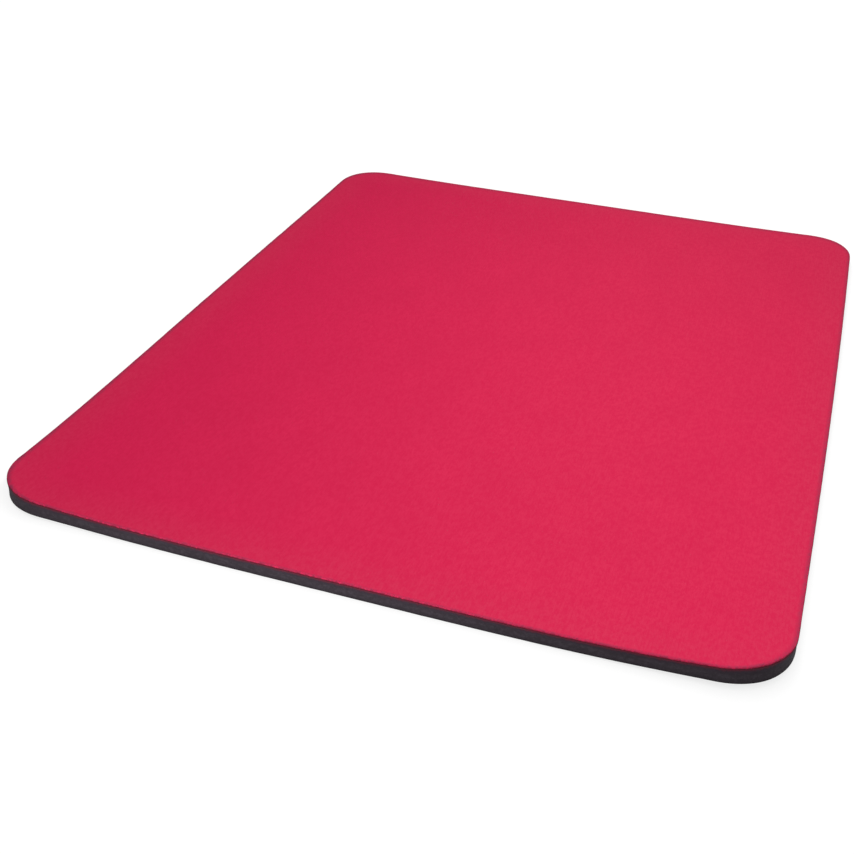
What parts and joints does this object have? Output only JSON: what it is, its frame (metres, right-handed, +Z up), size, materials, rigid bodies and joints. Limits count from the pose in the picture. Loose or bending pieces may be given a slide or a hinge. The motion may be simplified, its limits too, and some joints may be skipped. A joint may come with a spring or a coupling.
{
  "type": "mouse pad",
  "caption": "Rectangular desk pad with round corners: a knitted cloth face bonded by a thin film to a closed-cell foam base, for a computer mouse to glide on.",
  "frame": {"origin": "middle of the underside, on the surface that the pad lies on", "axes": "+Z up out of the cloth face, +Y along the long sides, +X along the short sides"},
  "size_m": [0.2, 0.25, 0.004],
  "materials": {
    "foam": "matt closed-cell sponge, dark grey, with a die-cut side",
    "adhesive": "thin dark bonding film",
    "cloth": "fine crimson knit, matt with a soft sheen"
  },
  "bodies": {
    "root": {"foam_base": "foam", "adhesive_film": "adhesive", "face_cloth": "cloth"}
  },
  "joints": []
}
